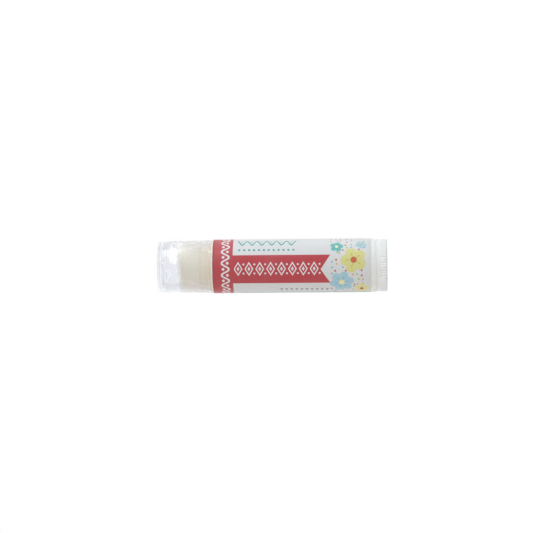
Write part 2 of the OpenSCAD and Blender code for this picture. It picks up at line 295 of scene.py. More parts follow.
def wear_group():
    """Handling: hairline scratches in two slanting directions, and soft smudges."""
    group, given, end = new_group("handling", {"Scratch share": 0.3}, ["Scratches", "Smudges"])
    where = place_mm(group)[3]
    marks = []
    for turn in (0.5, -0.9):
        tilted = node(group, "ShaderNodeMapping", {"Vector": where, "Rotation": (turn, turn, turn)})
        lines = noise(group, tilted.outputs[0], 1.6, 1.0, stretch=(6.0, 6.0, 0.12))
        marks.append(abs(lines - 0.5).ramp(0.0, 0.012, 1.0, 0.0))
    patches = noise(group, where, 0.35, 2.0).ramp(0.62 - given["Scratch share"] * 0.3, 0.7)
    plug(group, end.inputs["Scratches"], marks[0].most(marks[1]) * patches)
    plug(group, end.inputs["Smudges"], noise(group, where, 0.22, 3.0, 0.65).ramp(0.42, 0.7))
    return group


MOULDING = moulding_group()
HANDLING = wear_group()


def new_material(name):
    """An empty material and its tree, with a Principled shader joined to the output."""
    made = bpy.data.materials.new(name)
    made.use_nodes = True
    tree = made.node_tree
    tree.nodes.clear()
    shader = node(tree, "ShaderNodeBsdfPrincipled")
    end = node(tree, "ShaderNodeOutputMaterial", {"Surface": shader.outputs[0]})
    return made, tree, shader, end


def dress(shader, **values):
    """Sets a shader's sockets by name, with spaces written as underscores."""
    for name, value in values.items():
        plug(shader.id_data, shader.inputs[name.replace("_", " ")], value)


def bump(tree, height, depth_mm):
    """A normal from a height of 0 to 1 that stands depth_mm high."""
    made = node(tree, "ShaderNodeBump", {"Height": height, "Strength": 1.0, "Distance": depth_mm * MM})
    return made.outputs[0]


def let_through(tree, shader, end):
    """Lets lamps and soft light pass a clear or milky wall, so that what is inside is lit."""
    light = node(tree, "ShaderNodeLightPath")
    soft = out(light, "Is Shadow Ray").most(out(light, "Is Diffuse Ray"))
    open_way = node(tree, "ShaderNodeBsdfTransparent")
    mix = node(tree, "ShaderNodeMixShader", {0: soft, 1: shader.outputs[0], 2: open_way.outputs[0]})
    tree.links.new(mix.outputs[0], end.inputs["Surface"])


def seen_directly(tree):
    """1 for rays from the camera, in gloss and through clear plastic, and 0 for plain light."""
    light = node(tree, "ShaderNodeLightPath")
    seen = out(light, "Is Camera Ray").most(out(light, "Is Glossy Ray"))
    return seen.most(out(light, "Is Transmission Ray"))


# Cap: tint of its wall, a darker tint of its end that paints shade there, and the share of the light that
# goes straight through without bending
CAP_TINT, CAP_END_SHADE_TINT, CAP_STRAIGHT = "#f4f5f8", "#c4ccd6", 0.55

# Film of wax in the cap: how dense it is, how high it reaches, and how its edge leans with the balm's top
FILM_SHARE, FILM_TOP, FILM_LEAN = 0.25, 61.85, 0.06

# Scuffed patches near the cap's closed end: angle in radians and height of the middle, and the half sizes
PATCH, SMALL_PATCH = (0.46, 63.2, 0.4, 1.2), (0.54, 66.0, 0.18, 0.5)


def apart_from(turn, z, patch):
    """Squared distance from the middle of a patch, as a multiple of its half sizes."""
    middle_turn, middle_z, half_turn, half_z = patch
    return ((turn - middle_turn) / half_turn) ** 2 + ((z - middle_z) / half_z) ** 2


def wax_film_and_painted_sheen(tree, z):
    """The milky film in the cap: tan near the collar, and whiter where it is seen at a slant, which is a
    painted sheen.
    """
    slant = out(node(tree, "ShaderNodeLayerWeight", {"Blend": 0.5}), "Facing")
    milk_and_painted_sheen = blend(tree, z.ramp(SHOULDER_Z + 0.4, SHOULDER_Z + 5.0), "#eadcc4", "#e7e2d6")
    # Painted sheen: the film turns whiter where it is seen at a slant.
    milk_and_painted_sheen = blend(tree, slant.ramp(0.22, 0.55, 0.0, 1.0), milk_and_painted_sheen, "#fcfaf7")
    film = node(tree, "ShaderNodeBsdfPrincipled")
    dress(film, Base_Color=milk_and_painted_sheen, Roughness=0.55, IOR=1.44, Specular_IOR_Level=0.0)
    return film


def cap_material():
    """Clear cap: soft plastic glass, faintly blue. A share of the light goes straight through.

    Near the closed end is a scuffed area with glossy specks left in it, crowded in the middle and few at
    its edge. Over the neck and the balm, the cap carries a thin milky film of wax, with a painted sheen
    where it is seen at a slant.
    """
    made, tree, glass, end = new_material("clear_cap")
    x, y, z, where = place_mm(tree)
    turn = turn_of(x, y)
    mould = use_group(tree, MOULDING, Wave_size=1.1, Grain_size=0.16)
    wear = use_group(tree, HANDLING, Scratch_share=0.35)

    ragged = (noise(tree, where, 1.4, 3.0, 0.7) - 0.5) * 1.6
    apart = apart_from(turn, z, PATCH) + ragged
    crowd = apart.least(apart_from(turn, z, SMALL_PATCH) + ragged).ramp(0.1, 2.4, 0.4, 0.64)
    patch = apart.ramp(8.0, 14.0, 1.0, 0.0)
    specks = noise(tree, where, 2.1, 2.0, 0.6)
    scuffed = patch * (specks - crowd).ramp(-0.02, 0.02, 1.0, 0.0)
    rough = wear["Smudges"] * 0.03 + wear["Scratches"] * 0.18 + scuffed * 0.22 + 0.04
    calm = z.ramp(FILM_TOP - 1.85, FILM_TOP + 0.15, 0.05, 0.12)
    height = mould["Wave"] * calm - wear["Scratches"] * 0.06 + specks * patch * 0.12
    # Painted shade: the glass darkens towards the closed end.
    wall = blend(tree, z.ramp(CAP_TOP - 1.3, CAP_TOP - 0.8), CAP_TINT, CAP_END_SHADE_TINT)
    dress(glass, Base_Color=wall, Roughness=rough, IOR=1.49, Transmission_Weight=1.0,
          Normal=bump(tree, height, 0.032))

    straight = node(tree, "ShaderNodeBsdfTransparent")
    straight.inputs["Color"].default_value = [math.sqrt(c) for c in tint(CAP_TINT)]
    body = node(tree, "ShaderNodeMixShader", {0: CAP_STRAIGHT, 1: glass.outputs[0], 2: straight.outputs[0]})
    cloud = noise(tree, where, 0.5, 3.0, 0.6, stretch=(1, 1, 0.5)).ramp(0.3, 0.7, 0.9, 1.1)
    share = (z - x * FILM_LEAN).ramp(FILM_TOP - 0.3, FILM_TOP + 0.3, FILM_SHARE, 0.0) * cloud
    film = wax_film_and_painted_sheen(tree, z)
    coated = node(tree, "ShaderNodeMixShader", {0: share, 1: body.outputs[0], 2: film.outputs[0]})
    let_through(tree, coated, end)
    return made


# Pale clouds on one side of the neck: the angle of their middle in radians, how far from it they
# start and end to fade, and the height of their top
PALE_SIDE_TURN, PALE_SIDE_FADE, PALE_SIDE_TOP = -1.05, (0.25, 0.6), 59.0


def neck_and_collar(tree, turn, z, where, base, alpha, neck_solid):
    """Colour and alpha of the tube with its top: a cream shoulder, a tan collar and a thinner milky neck.

    Soft pale clouds, whiter and more solid, show on one side of the neck.
    """
    collar = z.ramp(SHOULDER_Z + 0.02, SHOULDER_Z + 0.08) * z.ramp(COLLAR_TOP, COLLAR_TOP + 0.1, 1.0, 0.0)
    neck = z.ramp(COLLAR_TOP, COLLAR_TOP + 0.3)
    base = blend(tree, z.ramp(LABEL_TOP - 0.4, LABEL_TOP), base, "#faf0de")
    base = blend(tree, collar, base, "#f6e7cf")
    base = blend(tree, neck, base, "#eee5d2")
    clouds = noise(tree, where, 0.75, 3.0, 0.65, stretch=(1, 1, 0.8)).ramp(0.25, 0.75)
    near_side = abs(turn - PALE_SIDE_TURN).ramp(*PALE_SIDE_FADE, 1.0, 0.0)
    # Pale clouds on one side of the neck, whiter and more solid.
    pale_clouds = clouds * near_side * z.ramp(PALE_SIDE_TOP - 0.5, PALE_SIDE_TOP, 1.0, 0.0)
    base = blend(tree, pale_clouds * neck * 0.7, base, "#fcfbf8")
    return base, blend_number(neck, alpha, pale_clouds * 0.2 + neck_solid)


def rubbed_foot(tree, z, where, base):
    """Colour of the dial: a little whiter above its grooves, with a few rubbed grey spots on its foot."""
    base = blend(tree, z.ramp(GROOVE_HIGH, GROOVE_HIGH + 0.3), "#fafdfa", base)
    spots = noise(tree, where, 1.1, 3.0, 0.6).ramp(0.68, 0.74) * z.ramp(DIAL_BEVEL, 0.9, 0.5, 0.0)
    return blend(tree, spots, base, "#b3b6a6")


def natural_material(name, colour, solid, neck_solid=None):
    """Natural plastic: milky, with a fine grain. With neck_solid it is the tube's, or else the dial's."""
    made, tree, shader, end = new_material(name)
    x, y, z, where = place_mm(tree)
    mould = use_group(tree, MOULDING, Wave_size=2.2, Grain_size=0.1)
    wear = use_group(tree, HANDLING, Scratch_share=0.4)
    base = blend(tree, mould["Mottle"].ramp(0.35, 0.7) * 0.35, colour, "#eeefea")
    alpha = mould["Mottle"].ramp(0.3, 0.75, solid - 0.04, solid + 0.04)
    if neck_solid:
        base, alpha = neck_and_collar(tree, turn_of(x, y), z, where, base, alpha, neck_solid)
    else:
        base = rubbed_foot(tree, z, where, base)
    rough = wear["Smudges"] * 0.08 + wear["Scratches"] * 0.15 + mould["Grain"] * 0.08 + 0.26
    height = mould["Wave"] * 0.7 + mould["Grain"] * 0.3 - wear["Scratches"] * 0.1
    dress(shader, Base_Color=base, Alpha=alpha, IOR=1.49, Specular_IOR_Level=0.27,
          Subsurface_Weight=0.42, Subsurface_Radius=(1.0, 1.0, 1.0), Subsurface_Scale=4.0 * MM,
          Roughness=rough, Normal=bump(tree, height, 0.02))
    let_through(tree, shader, end)
    return made


def cup_material():
    """White cup and nut: plain satin plastic."""
    made, tree, shader, _ = new_material("white_cup")
    mould = use_group(tree, MOULDING, Wave_size=1.8, Grain_size=0.1)
    dress(shader, Base_Color=blend(tree, mould["Mottle"], "#ecece8", "#e4e4de"), IOR=1.49,
          Roughness=mould["Grain"] * 0.12 + 0.34, Normal=bump(tree, mould["Grain"], 0.01))
    return made


def balm_material():
    """Poured balm: cream wax with soft clouds, fine pores and a slight glow under its skin."""
    made, tree, shader, _ = new_material("balm")
    where = place_mm(tree)[3]
    clouds = noise(tree, where, 0.28, 4.0, 0.6)
    pores = noise(tree, where, 3.2, 2.0).ramp(0.62, 0.75)
    colour = blend(tree, clouds.ramp(0.3, 0.7), "#ebe3d0", "#f1ecdf")
    colour = blend(tree, pores * 0.35, colour, "#dbd0b8")
    dress(shader, Base_Color=colour, Roughness=clouds.ramp(0.3, 0.7, 0.42, 0.56), IOR=1.44,
          Subsurface_Weight=0.25, Subsurface_Radius=(1.2, 1.1, 0.95), Subsurface_Scale=1.0 * MM,
          Normal=bump(tree, noise(tree, where, 0.9, 4.0, 0.6) - pores * 0.2, 0.06))
    return made


# Label's printing: colours, foot of the red band, and the ribbon's edges in degrees and heights of its end
RED, WHITE, TEAL = "#ba444c", "#dcdcdb", "#43a19a"
BAND_LOW = 45.5
RIBBON_HIGH, RIBBON_LOW, RIBBON_TIP, RIBBON_NOTCH = 23.7, -39.0, 16.7, 19.6


def around(degrees):
    """Arc length in millimetres on the label for an angle from its front, positive towards +X."""
    return math.radians(degrees) * LABEL_R


def blossom_group():
    """A flower with round petals: masks of the petals, of a vein in each, and of the eye.

    The petals' edge is a wave round the middle: the cosine of half the angle times the number of petals.
    """
    inputs = {"Along": 0.0, "Up": 0.0, "Size": 1.0, "Petals": 5.0, "Turn": 0.0}
    group, given, end = new_group("blossom", inputs, ["Flower", "Eye", "Vein"])
    along, up, size = given["Along"], given["Up"], given["Size"]
    reach = (along * along + up * up) ** 0.5 / size
    angle = along.math("ARCTAN2", up, along) + given["Turn"]
    lobe = abs((angle * given["Petals"] * 0.5).cosine())
    plug(group, end.inputs["Flower"], reach < lobe ** 0.6 * 0.34 + 0.66)
    plug(group, end.inputs["Eye"], reach < 0.24)
    plug(group, end.inputs["Vein"], reach.near(0.42, 0.16) * (lobe > 0.975))
    return group


BLOSSOM = blossom_group()

# Flowers: angle and height of the middle, radius, number of petals, turn, and colours of petals, veins, eye
FLOWERS = [
    (-38.0, 13.4, 3.6, 6, 0.3, "#a9cdd9", "#7fb4c4", "#f0e7b4"),
    (12.0, 9.9, 3.9, 5, 0.9, "#dad68e", "#c9bd62", "#c96a4a"),
    (44.0, 14.9, 2.0, 5, 0.2, "#6fb9b4", "#4b9d98", "#f1ecd2"),
    (-58.0, 7.6, 2.3, 5, 1.4, "#e2dc9c", "#cdc46e", "#b8465a"),
    (50.0, 7.7, 1.7, 5, 0.6, "#a9cdd9", "#82b5c6", "#e3c95f"),
]


def band_and_ribbon(tree, z, arc):
    """The red band round the top and the ribbon that hangs from it, on white, and the ribbon's own mask.

    The ribbon's end is notched: it lies at RIBBON_NOTCH in the middle and falls to RIBBON_TIP at the edges.
    """
    middle, half = around((RIBBON_HIGH + RIBBON_LOW) / 2), around((RIBBON_HIGH - RIBBON_LOW) / 2)
    off = abs(arc - middle)
    tail = RIBBON_NOTCH - off * ((RIBBON_NOTCH - RIBBON_TIP) / half)
    ribbon = (off < half) * (z > tail)
    return blend(tree, (z > BAND_LOW).most(ribbon), WHITE, RED), ribbon


def lozenge_chain(tree, z, arc, ribbon, colour):
    """A chain of lozenges along the ribbon, with a pair of dots at each joint."""
    pitch, low = 3.2, 19.9
    side = abs(arc - around(-6))
    cell = (z - low) % pitch - pitch / 2
    joint = (z - low + pitch / 2) % pitch - pitch / 2
    reach = side * 0.62 + abs(cell)
    lozenge = reach.near(1.12, 0.2) + (reach < 0.42)
    dots = joint * joint + (side - 1.35) ** 2 < 0.09
    marks = lozenge.least(1.0).most(dots) * z.near(32.3, 12.8) * ribbon
    return blend(tree, marks, colour, "#e6dfdf")


def band_wave(tree, z, arc, colour):
    """A white wave round the red band, with a bead in each bend."""
    bend = 1.8
    height = z - 47.7
    turns = arc * (math.pi / bend)
    crest = turns.sine()
    wave = abs(height - crest * 1.05) / (abs(turns.cosine()) * 1.3 + 1.0) < 0.23
    bead = arc % bend - bend / 2
    in_bend = bead * bead + (height + crest.sign() * 0.62) ** 2 < 0.18
    return blend(tree, wave.most(in_bend), colour, "#e8e0e1")


def teal_row(tree, z, arc, colour):
    """A teal wave with an eye in each bend, and a row of dots beside it."""
    pitch, low = 2.9, 26.9
    off = arc - around(58)
    swing = z * (2 * math.pi / pitch)
    curl = swing.sine()
    wave = abs(off - curl) / (abs(swing.cosine()) * 0.9 + 1.0) < 0.24
    along = (z - low) % (pitch / 2) - pitch / 4
    dots = along * along + (arc - around(36)) ** 2 < 0.13
    eyes = ((z - low) % pitch - pitch / 2) ** 2 * 2.0 + (off + curl * 0.45) ** 2 < 0.1
    return blend(tree, wave.most(dots).most(eyes) * z.near(35.6, 8.7), colour, TEAL)


def rules_and_dashes(tree, z, arc, colour):
    """A teal rule, the outline of the plain panel at the back, and a dashed and a dotted row in grey."""
    rule = z.near(24.4, 19.0) * abs(arc).near(around(75), 0.3) * (arc < 0)
    panel_sides = z.near(24.4, 17.0) * abs(arc).near(around(112), 0.1)
    panel_ends = (z.near(41.4, 0.1) + z.near(7.4, 0.1)) * (abs(arc) > around(112))
    colour = blend(tree, (rule + panel_sides + panel_ends).least(1.0), colour, "#8fbcbb")
    along = (z - 17.0) % 1.5 - 0.75
    dashes = (abs(along) < 0.42) * (abs(arc - around(-57)) < 0.16)
    dots = along * along + (arc - around(-62)) ** 2 < 0.06
    return blend(tree, (dashes + dots).least(1.0) * z.near(24.5, 7.5), colour, "#5f6063")


def scattered_specks(tree, z, arc, ribbon, colour):
    """Round specks behind the flowers in four colours, one to a cell, and fewer towards the sides.

    A cell's random number picks its colour, and the later digits of that number whether it has a speck.
    """
    flat = node(tree, "ShaderNodeCombineXYZ", {"X": arc, "Y": z})
    inputs = {"Vector": flat.outputs[0], "Scale": 0.62, "Randomness": 0.7}
    cells = node(tree, "ShaderNodeTexVoronoi", inputs, voronoi_dimensions="2D")
    pick = out(node(tree, "ShaderNodeSeparateColor", {"Color": cells.outputs["Color"]}))
    shade = node(tree, "ShaderNodeValToRGB", {"Fac": pick})
    shade.color_ramp.interpolation = "CONSTANT"
    stops = ((0.0, "#b8465a"), (0.3, "#dba45c"), (0.5, "#9fbf5a"), (0.72, "#6fb3c9"))
    while len(shade.color_ramp.elements) < len(stops):
        shade.color_ramp.elements.new(0.5)
    for element, (position, code) in zip(shade.color_ramp.elements, stops):
        element.position, element.color = position, tint(code)
    middle = node(tree, "ShaderNodeSeparateXYZ", {"Vector": cells.outputs["Position"]})
    aside, up = abs(out(middle, "X")), out(middle, "Y")
    chance = aside.ramp(around(60), around(100), 1.0, 0.25)
    kept = (pick * 37.0 % 1.0 < chance) * up.near(11.4, 5.4) * (aside < around(104))
    specks = (out(cells, "Distance") < 0.17) * kept * (1.0 - ribbon)
    return blend(tree, specks, colour, shade.outputs["Color"])


def edges_and_painted_shadows(tree, z, arc, colour):
    """A dark painted shadow line along the top edge, and the pale end of the overlap with a painted shadow
    beside it.
    """
    end = arc - around(OVERLAP_FROM + OVERLAP_ARC + 90 - 360)
    colour = blend(tree, end.near(-0.1, 0.1), colour, "#eceae6")
    # Painted shadow: a grey line just past the overlap's end.
    colour = blend(tree, end.near(0.07, 0.07) * 0.5, colour, "#8d8a86")
    # Painted shade: a dark line along the label's top edge.
    return blend(tree, (z > LABEL_TOP - 0.34) * 0.45, colour, "#6a2a30")


def blossoms(tree, z, arc, colour):
    """The flowers, each with its petals, veins and eye."""
    for degrees, up, size, petals, turn, petal, vein, eye in FLOWERS:
        made = use_group(tree, BLOSSOM, Along=arc - around(degrees), Up=z - up, Size=size, Petals=petals,
                         Turn=turn)
        colour = blend(tree, made["Flower"], colour, petal)
        colour = blend(tree, made["Vein"], colour, vein)
        colour = blend(tree, made["Eye"], colour, eye)
    return colour


def print_on(tree, z, arc):
    """The label's printing at height z and arc length arc from its front, laid on one after another, with
    painted shadows at its edges.
    """
    colour, ribbon = band_and_ribbon(tree, z, arc)
    colour = lozenge_chain(tree, z, arc, ribbon, colour)
    colour = band_wave(tree, z, arc, colour)
    colour = teal_row(tree, z, arc, colour)
    colour = rules_and_dashes(tree, z, arc, colour)
    colour = scattered_specks(tree, z, arc, ribbon, colour)
    colour = edges_and_painted_shadows(tree, z, arc, colour)
    return blossoms(tree, z, arc, colour)


def label_material():
    """Printed film: satin, a little uneven where it lies on the glue."""
    made, tree, shader, _ = new_material("printed_film")
    x, y, z, _ = place_mm(tree)
    colour = print_on(tree, z, turn_of(x, y) * LABEL_R)
    mould = use_group(tree, MOULDING, Wave_size=5.0, Grain_size=0.07)
    wear = use_group(tree, HANDLING, Scratch_share=0.25)
    colour = blend(tree, mould["Mottle"].ramp(0.4, 0.7) * 0.06, colour, "#b9b6ae")
    dress(shader, Base_Color=colour, IOR=1.5, Specular_IOR_Level=0.24, Sheen_Weight=0.2,
          Roughness=wear["Smudges"] * 0.06 + wear["Scratches"] * 0.1 + mould["Grain"] * 0.06 + 0.27,
          Normal=bump(tree, mould["Wave"] * 0.8 + mould["Grain"] * 0.2, 0.02))
    return made


# Edges that bend by more degrees than this stay sharp
SHARP_ANGLE = 38

# Numbers of points round each piece (for the dial, to a groove), and along the thread, the label and a lug
CAP_AROUND, TUBE_AROUND, GROOVE_AROUND, CUP_AROUND, BALM_AROUND, SCREW_AROUND = 256, 256, 12, 192, 240, 48
SCREW_LEVELS, LABEL_STEPS, LUG_STEPS = 420, 400, 13


def outline(corners, closed=False, longest=1.0, arc=6):
    """Points [r, z] of an outline through corners (r, z) or (r, z, round).

    A corner with a round is replaced by the parabola that leaves its two sides that far from it, in arc
    points, and straight stretches are cut into parts no longer than longest.
    """
    at = np.array([c[:2] for c in corners], float)
    rounds = [c[2] if len(c) > 2 else 0 for c in corners]
    t = np.linspace(0, 1, arc)[:, None]
    parts = []
    for here, before, after, size in zip(at, np.roll(at, 1, 0), np.roll(at, -1, 0), rounds):
        if not size:
            parts.append(here[None])
            continue
        first = here + (before - here) / np.linalg.norm(before - here) * size
        last = here + (after - here) / np.linalg.norm(after - here) * size
        parts.append((1 - t) ** 2 * first + 2 * t * (1 - t) * here + t ** 2 * last)
    path = np.concatenate(parts + [parts[0][:1]] * closed)
    cuts = np.ceil(np.linalg.norm(np.diff(path, axis=0), axis=1) / longest).clip(1).astype(int)
    runs = [np.linspace(p, q, n, endpoint=False) for p, q, n in zip(path[:-1], path[1:], cuts)]
    return np.concatenate(runs if closed else runs + [path[-1:]])


def turned(profile, count, shape):
    """A turned surface: the point (r cos a, r sin a, z) for each profile point and each of count angles a.

    shape(r, z, a) gives r and z changed by angle.
    """
    a = 2 * np.pi * np.arange(count) / count
    r, z = (np.repeat(profile[:, k:k + 1], count, 1) for k in (0, 1))
    r, z = shape(r, z, a[None, :])
    return np.stack([r * np.cos(a), r * np.sin(a), z], -1)


def ended(grid):
    """A band of sections, closed with a pole at each end that lies at the mean of the section there."""
    first, last = (np.repeat(grid[k].mean(0)[None, None], grid.shape[1], 1) for k in (0, -1))
    return np.concatenate([first, grid, last])


def skin_faces(rows, columns, ring):
    """Quads and triangles of a grid that wraps along its columns, as rows of point numbers.

    If ring, the rows wrap too and there are no triangles. If not, the first and the last row are poles.
    """
    grid = np.arange(rows * columns).reshape(rows, columns)
    body = grid if ring else grid[1:-1]
    low = body if ring else body[:-1]
    high = np.roll(body, -1, 0) if ring else body[1:]
    quads = np.stack([low, np.roll(low, -1, 1), np.roll(high, -1, 1), high], -1).reshape(-1, 4)
    if ring:
        return quads, np.empty((0, 3), int)
    first = np.stack([np.full(columns, grid[0, 0]), np.roll(grid[1], -1), grid[1]], -1)
    last = np.stack([np.full(columns, grid[-1, 0]), grid[-2], np.roll(grid[-2], -1)], -1)
    return quads, np.concatenate([first, last])


def skin(name, patches):
    """A closed mesh in metres from surfaces (points in millimetres, ring).

    Each surface's faces are turned so that the triple products of their triangles sum up to more than 0,
    which is when they face outwards. Points that no face uses are left out.
    """
    points, quads, triangles = [], [], []
    start = 0
    for grid, ring in patches:
        flat = grid.reshape(-1, 3)
        four, three = skin_faces(grid.shape[0], grid.shape[1], ring)
        halves = np.concatenate([four[:, :3], four[:, [0, 2, 3]], three])
        a, b, c = (flat[halves[:, k]] for k in range(3))
        if np.einsum("ij,ij->", a, np.cross(b, c)) < 0:
            four, three = four[:, ::-1], three[:, ::-1]
        points.append(flat)
        quads.append(four + start)
        triangles.append(three + start)
        start += len(flat)
    quads, triangles = np.concatenate(quads), np.concatenate(triangles)
    used, corners = np.unique(np.concatenate([quads.ravel(), triangles.ravel()]), return_inverse=True)
    starts = np.concatenate([4 * np.arange(len(quads)), quads.size + 3 * np.arange(len(triangles))])
    mesh = bpy.data.meshes.new(name)
    mesh.vertices.add(len(used))
    mesh.vertices.foreach_set("co", (np.concatenate(points)[used] * MM).astype(np.float32).ravel())
    mesh.loops.add(len(corners))
    mesh.loops.foreach_set("vertex_index", corners.astype(np.int32).ravel())
    mesh.polygons.add(len(starts))
    mesh.polygons.foreach_set("loop_start", starts.astype(np.int32))
    mesh.update(calc_edges=True)
    mesh.validate()
    return mesh


def piece(name, patches, body, material, replaces=()):
    """A closed piece from surfaces that rides on a body and stands for CAD nodes."""
    mesh = skin(name, patches)
    mesh.shade_smooth()
    mesh.set_sharp_from_angle(angle=math.radians(SHARP_ANGLE))
    mesh.materials.append(material)
    made = bpy.data.objects.new(name, mesh)
    bpy.context.scene.collection.objects.link(made)
    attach(made, body)
    if replaces:
        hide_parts(*replaces)


def make_cap(material):
    """Clear cap: a tapered shell closed above, with fine steps inside its end and a gate mark on top."""
    top_r, in_r, in_top = CAP_R - CAP_DRAFT, CAP_R - CAP_WALL, CAP_TOP - CAP_END
    stepped = in_top - STEP_COUNT * STEP_H
    bore_r = in_r - CAP_DRAFT * (stepped - CAP_Z) / (in_top - CAP_Z)
    steps = []
    for i in range(STEP_COUNT, 0, -1):
        r, z = top_r - CAP_WALL - i * STEP_IN, in_top - (STEP_COUNT - i) * STEP_H
        steps += [(r, z, 0.12), (r, z - STEP_H, 0.1)]
    outside = [(0, CAP_TOP), (top_r, CAP_TOP, CAP_CORNER), (CAP_R, CAP_Z, 0.1), (in_r, CAP_Z, 0.1)]
    inside = [(bore_r, stepped, 0.12)] + steps[::-1] + [(0, in_top)]
    profile = outline(outside + inside, longest=0.7, arc=8)

    def shape(r, z, a):
        """Sinks a round gate mark into the middle of the top: a bell of radius GATE_R with a flat floor."""
        gate = GATE_DEPTH * np.exp(-(r / GATE_R) ** 4) * (z > CAP_TOP - 0.01)
        return r, z - gate

    surface = turned(profile, CAP_AROUND, shape)
    piece("cap_shell", [(surface, False)], "cap", material, ["cap"])


def make_tube(material):
    """Tube: shoulder, collar, bead and neck, with the bore, its guide ribs and the dial's socket within."""
    edge = 0.12
    catch = SNAP_H / 2
    profile = outline([
        (TUBE_R, TUBE_Z, 0.06), (TUBE_R, SHOULDER_Z, edge), (COLLAR_R, SHOULDER_Z, 0.06),
        (COLLAR_R, COLLAR_TOP, 0.06), (NECK_R, SLOPE_TOP, 0.1),
        (NECK_R, BEAD_Z - BEAD_H / 2, 0.05), (BEAD_R, BEAD_Z - BEAD_H / 6, 0.1),
        (BEAD_R, BEAD_Z + BEAD_H / 6, 0.1), (NECK_R, BEAD_Z + BEAD_H / 2, 0.05),
        (NECK_R, NECK_TOP, edge), (BORE_R, NECK_TOP, 0.08),
        (BORE_R, GUIDE_TOP + 0.02), (BORE_R, GUIDE_TOP - 0.1),
        (BORE_R, SOCKET_TOP), (SOCKET_R, SOCKET_TOP, 0.1), (SOCKET_R, SNAP_Z + catch, 0.05),
        (SNAP_R, SNAP_Z + catch, 0.1), (SNAP_R, SNAP_Z - catch, 0.1), (SOCKET_R, SNAP_Z - catch, 0.05),
        (SOCKET_R, TUBE_Z, 0.1),
    ], closed=True, longest=1.2)

    def shape(r, z, a):
        """Brings the bore in by GUIDE_DEPTH within GUIDE_HALF of the X axis, up to GUIDE_TOP."""
        across = np.abs(BORE_R * np.sin(a))
        in_bore = (np.abs(r - BORE_R) < 0.001) * (z < GUIDE_TOP)
        rib = ((GUIDE_HALF + 0.1 - across) / 0.2).clip(0, 1) * in_bore
        return r - GUIDE_DEPTH * rib, z

    surface = turned(profile, TUBE_AROUND, shape)
    piece("tube_shell", [(surface, True)], "tube", material, ["tube_body"])


def make_label(material):
    """Label: a thin film carried round the tube from the overlap's first edge for a turn and the overlap.

    Its section is a rectangle of the film's thickness and height. Its radius is steady until the end comes
    to lie on the start, where it lifts by one thickness along a smooth step.
    """
    inner = TUBE_R + GLUE
    corners = [(0, LABEL_Z, 0.01), (FILM, LABEL_Z, 0.02), (FILM, LABEL_TOP, 0.02), (0, LABEL_TOP, 0.01)]
    section = outline(corners, closed=True, longest=1.2, arc=3)
    a = np.radians(OVERLAP_FROM + np.linspace(0, 360 + OVERLAP_ARC, LABEL_STEPS))
    turn_end = math.radians(OVERLAP_FROM + 360)
    lift = ((a - turn_end) / math.radians(LIFT_ARC) + 1).clip(0, 1)
    lift = lift * lift * (3 - 2 * lift) * (FILM + LAYER_GAP)
    r = inner + lift[:, None] + section[None, :, 0]
    z = np.repeat(section[None, :, 1], len(a), 0)
    grid = np.stack([r * np.cos(a)[:, None], r * np.sin(a)[:, None], z], -1)
    piece("label_film", [(ended(grid), False)], "tube", material, ["label"])


def make_dial(material):
    """Dial: a bevelled foot with grip grooves and a hollow below, and the ring and boss inside the tube."""
    foot_in = DIAL_R - FOOT_W
    catch = CATCH_H / 2
    fade = 0.07
    profile = outline([
        (0, FOOT_RECESS), (foot_in, FOOT_RECESS, 0.15), (foot_in, 0, 0.12),
        (DIAL_R - DIAL_BEVEL, 0, 0.08), (DIAL_R, DIAL_BEVEL, 0.04), (DIAL_R, GROOVE_LOW),
        (DIAL_R, GROOVE_LOW + fade), (DIAL_R, GROOVE_HIGH - fade), (DIAL_R, GROOVE_HIGH),
        (DIAL_R, DIAL_TOP, 0.07), (PLUG_R, DIAL_TOP, 0.05), (PLUG_R, SNAP_Z - catch, 0.05),
        (CATCH_R, SNAP_Z - catch / 3, 0.08), (CATCH_R, SNAP_Z + catch / 3, 0.08),
        (PLUG_R, SNAP_Z + catch, 0.05), (PLUG_R, PLUG_TOP, 0.15), (PLUG_IN, PLUG_TOP, 0.1),
        (PLUG_IN, DIAL_TOP, 0.2), (BOSS_R, DIAL_TOP, 0.2), (BOSS_R, BOSS_TOP, 0.1), (0, BOSS_TOP),
    ], longest=0.8)

    def shape(r, z, a):
        """Cuts grooves, circles of radius GROOVE_R that reach GROOVE_DEPTH in, and a gate mark below."""
        apart = 2 * np.pi / GROOVES
        across = ((a + apart / 2) % apart - apart / 2) * DIAL_R
        dip = (np.sqrt((GROOVE_R ** 2 - across ** 2).clip(0)) - GROOVE_R + GROOVE_DEPTH).clip(0)
        window = ((z - GROOVE_LOW) / fade).clip(0, 1) * ((GROOVE_HIGH - z) / fade).clip(0, 1)
        gate = DIAL_GATE * np.exp(-(r / GATE_R) ** 4) * (z < FOOT_RECESS + 0.15)
        return r - dip * window * (r > DIAL_R - 0.001), z + gate

    surface = turned(profile, GROOVES * GROOVE_AROUND, shape)
    piece("dial_foot", [(surface, False)], "dial", material, ["dial_spindle"])


